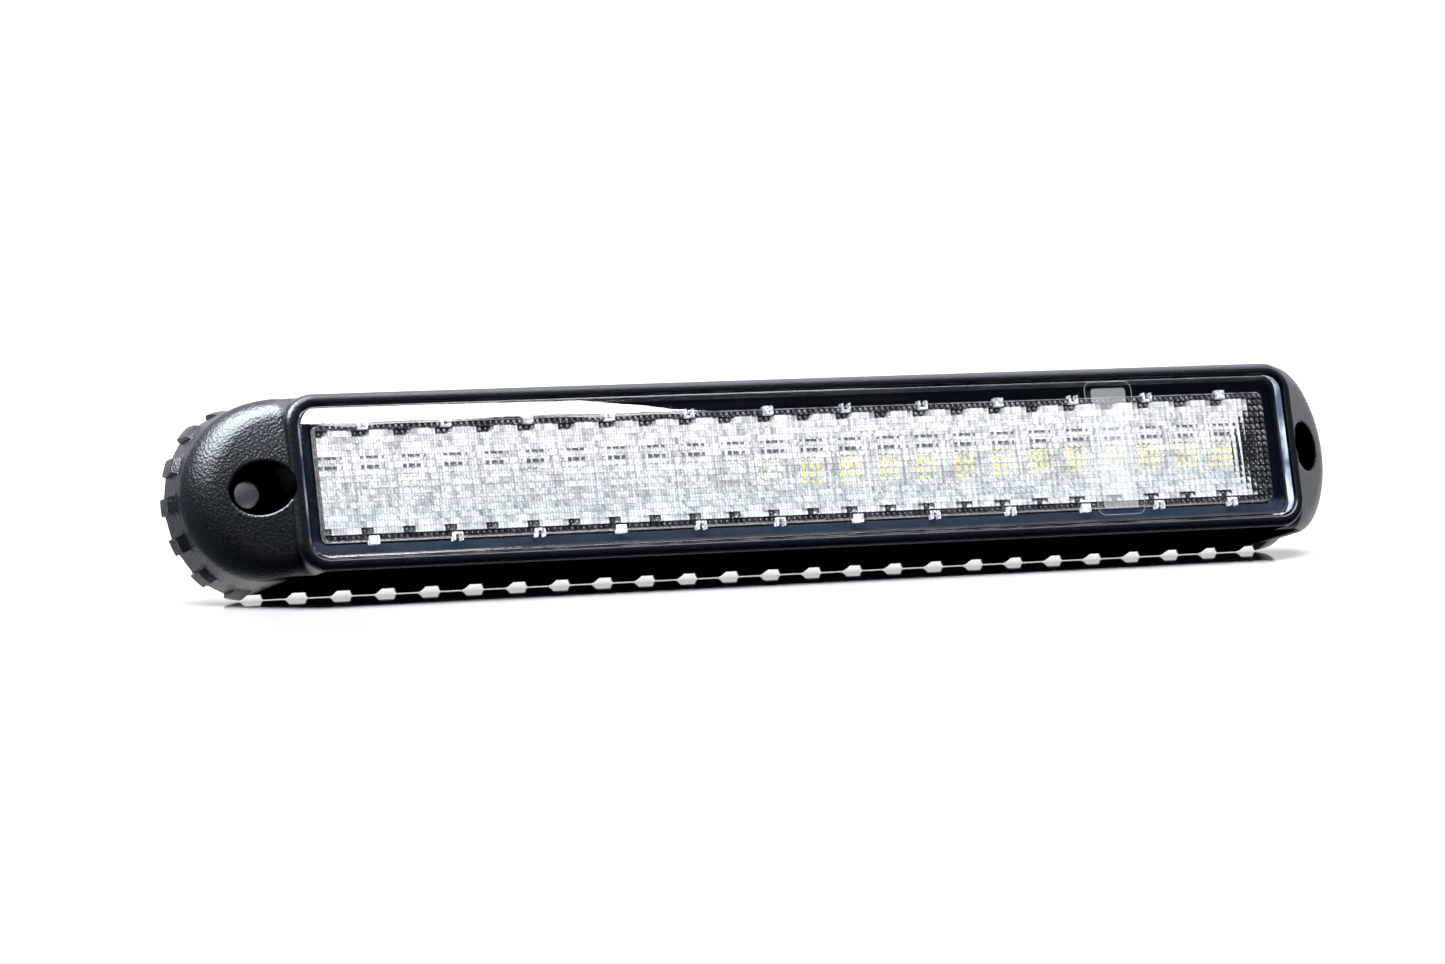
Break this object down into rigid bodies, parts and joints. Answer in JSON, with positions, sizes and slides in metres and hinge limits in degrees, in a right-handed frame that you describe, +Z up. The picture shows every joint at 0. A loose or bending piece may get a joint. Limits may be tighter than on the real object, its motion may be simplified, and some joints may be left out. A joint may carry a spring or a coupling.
{
  "type": "led light bar",
  "caption": "Slim surface-mount LED work and reversing light: black housing with sloping screw ends and a toothed rear rim, clear lens, prism optic, reflector and board.",
  "frame": {"origin": "centre of the flat rear face that lies on the vehicle's panel", "axes": "X along the lamp, +Y out of the rear face towards the panel, so light leaves along -Y, +Z up across the lamp"},
  "size_m": [0.2368, 0.0235, 0.0336],
  "materials": {
    "black_plastic": "fine spark-eroded grain, satin on the bezel",
    "clear_lens": "polished clear polycarbonate",
    "silicone": "matt sealing bead",
    "clear_optic": "clear plastic moulded with fine pillow prisms",
    "mirror_metal": "vacuum metallised, mirror bright",
    "board": "white solder mask",
    "led": "yellow phosphor in a white package",
    "chip": "moulded black epoxy",
    "ceramic": "sintered ceramic body",
    "terminal": "natural nylon",
    "rubber": "soft matt rubber",
    "membrane": "grey breather plug"
  },
  "bodies": {
    "root": {"housing": "black_plastic", "outer_lens": "clear_lens", "lens_seal": "silicone", "prism_optic": "clear_optic", "reflector": "mirror_metal", "circuit_board": "board", "led_01": "led", "led_02": "led", "led_03": "led", "led_04": "led", "led_05": "led", "led_06": "led", "led_07": "led", "led_08": "led", "led_09": "led", "led_10": "led", "led_11": "led", "led_12": "led", "led_13": "led", "led_14": "led", "led_15": "led", "led_16": "led", "led_17": "led", "led_18": "led", "led_19": "led", "led_20": "led", "led_21": "led", "led_22": "led", "led_23": "led", "led_24": "led", "driver_chip_left": "chip", "driver_chip_right": "chip", "input_diode": "chip", "capacitor_left": "ceramic", "capacitor_right": "ceramic", "resistor_1": "chip", "resistor_2": "chip", "resistor_3": "chip", "resistor_4": "chip", "wire_terminal": "terminal", "rear_cover": "black_plastic", "cable_grommet": "rubber", "vent_plug": "membrane"}
  },
  "joints": []
}
